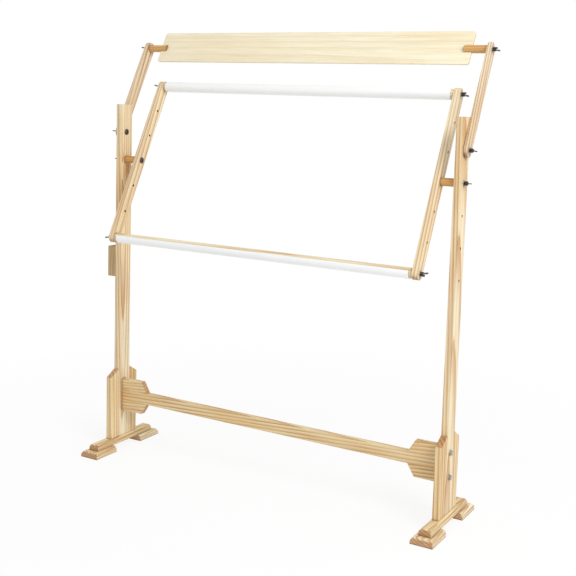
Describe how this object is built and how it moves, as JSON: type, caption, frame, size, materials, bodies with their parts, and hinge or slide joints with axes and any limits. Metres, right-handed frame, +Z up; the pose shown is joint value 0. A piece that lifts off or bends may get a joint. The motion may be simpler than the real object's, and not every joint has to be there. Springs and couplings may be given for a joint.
{
  "type": "embroidery floor stand",
  "caption": "Free-standing wooden embroidery stand: moulded feet, posts and stretcher, a tilting scroll frame with clipped rollers, and swinging arms that hold a pattern board.",
  "frame": {"origin": "on the floor, midway between the two feet and between their front and back ends", "axes": "+Z up; +X along the stretcher to the right-hand foot; -Y towards the person who sits at it"},
  "size_m": [0.9769, 0.2617, 1.0882],
  "materials": {
    "pine": "sanded pine with orange-brown grain, clear matt",
    "board_wood": "pale smooth plywood",
    "dark_wood": "darker brown sanded wood",
    "clip_plastic": "white satin extruded plastic",
    "zinc": "zinc plated",
    "dark_steel": "dark plated steel"
  },
  "bodies": {
    "stand": {"left_post": "pine", "right_post": "pine", "left_front_cheek": "pine", "left_back_cheek": "pine", "right_front_cheek": "pine", "right_back_cheek": "pine", "left_bearer": "pine", "right_bearer": "pine", "left_front_pad": "pine", "left_back_pad": "pine", "right_front_pad": "pine", "right_back_pad": "pine", "stretcher": "pine", "left_upper_gusset": "pine", "left_lower_gusset": "pine", "right_upper_gusset": "pine", "right_lower_gusset": "pine", "stretcher_screws": "zinc", "stretcher_washers": "zinc", "leg_screws": "zinc", "pad_screws": "zinc", "side_block": "dark_wood", "arm_pivot_bolts": "dark_steel", "frame_pivot_washers": "zinc"},
    "arms": {"left_arm": "pine", "right_arm": "pine", "arm_pivot_washers": "zinc", "board_washers": "zinc"},
    "board": {"pattern_board": "board_wood", "left_board_dowel": "pine", "right_board_dowel": "pine", "board_studs": "zinc"},
    "frame": {"left_side_bar": "pine", "right_side_bar": "pine", "left_spacer": "pine", "right_spacer": "pine", "frame_pivot_bolts": "dark_steel", "roller_washers": "zinc"},
    "upper_roller": {"upper_roller": "pine", "upper_clip": "clip_plastic", "upper_roller_studs": "zinc"},
    "lower_roller": {"lower_roller": "pine", "lower_clip": "clip_plastic", "lower_roller_studs": "zinc"},
    "left_arm_nut": {"left_arm_wing_nut": "dark_steel"},
    "right_arm_nut": {"right_arm_wing_nut": "dark_steel"},
    "left_board_nut": {"left_board_wing_nut": "dark_steel"},
    "right_board_nut": {"right_board_wing_nut": "dark_steel"},
    "left_frame_nut": {"left_frame_wing_nut": "dark_steel"},
    "right_frame_nut": {"right_frame_wing_nut": "dark_steel"},
    "left_upper_nut": {"left_upper_wing_nut": "dark_steel"},
    "right_upper_nut": {"right_upper_wing_nut": "dark_steel"},
    "left_lower_nut": {"left_lower_wing_nut": "dark_steel"},
    "right_lower_nut": {"right_lower_wing_nut": "dark_steel"}
  },
  "joints": [
    {"name": "arms_lean", "type": "hinge", "parent": "stand", "child": "arms", "pos_m": [0, 0, 0.83], "axis": [1, 0, 0], "range_deg": [-42, 58]},
    {"name": "board_tilt", "type": "hinge", "parent": "arms", "child": "board", "pos_m": [0, 0.11313, 1.04732], "axis": [1, 0, 0], "continuous": true},
    {"name": "frame_tilt", "type": "hinge", "parent": "stand", "child": "frame", "pos_m": [0, 0, 0.76], "axis": [1, 0, 0], "continuous": true},
    {"name": "upper_roller_turn", "type": "hinge", "parent": "frame", "child": "upper_roller", "pos_m": [0, 0.09403, 0.94777], "axis": [1, 0, 0], "continuous": true},
    {"name": "lower_roller_turn", "type": "hinge", "parent": "frame", "child": "lower_roller", "pos_m": [0, -0.09403, 0.57223], "axis": [1, 0, 0], "continuous": true},
    {"name": "left_arm_nut_turn", "type": "hinge", "parent": "stand", "child": "left_arm_nut", "pos_m": [0, 0, 0.83], "axis": [-1, 0, 0], "continuous": true},
    {"name": "right_arm_nut_turn", "type": "hinge", "parent": "stand", "child": "right_arm_nut", "pos_m": [0, 0, 0.83], "axis": [1, 0, 0], "continuous": true},
    {"name": "left_board_nut_turn", "type": "hinge", "parent": "board", "child": "left_board_nut", "pos_m": [0, 0.11313, 1.04732], "axis": [-1, 0, 0], "continuous": true},
    {"name": "right_board_nut_turn", "type": "hinge", "parent": "board", "child": "right_board_nut", "pos_m": [0, 0.11313, 1.04732], "axis": [1, 0, 0], "continuous": true},
    {"name": "left_frame_nut_turn", "type": "hinge", "parent": "frame", "child": "left_frame_nut", "pos_m": [0, 0, 0.76], "axis": [-1, 0, 0], "continuous": true},
    {"name": "right_frame_nut_turn", "type": "hinge", "parent": "frame", "child": "right_frame_nut", "pos_m": [0, 0, 0.76], "axis": [1, 0, 0], "continuous": true},
    {"name": "left_upper_nut_turn", "type": "hinge", "parent": "upper_roller", "child": "left_upper_nut", "pos_m": [0, 0.09403, 0.94777], "axis": [-1, 0, 0], "continuous": true},
    {"name": "right_upper_nut_turn", "type": "hinge", "parent": "upper_roller", "child": "right_upper_nut", "pos_m": [0, 0.09403, 0.94777], "axis": [1, 0, 0], "continuous": true},
    {"name": "left_lower_nut_turn", "type": "hinge", "parent": "lower_roller", "child": "left_lower_nut", "pos_m": [0, -0.09403, 0.57223], "axis": [-1, 0, 0], "continuous": true},
    {"name": "right_lower_nut_turn", "type": "hinge", "parent": "lower_roller", "child": "right_lower_nut", "pos_m": [0, -0.09403, 0.57223], "axis": [1, 0, 0], "continuous": true}
  ]
}
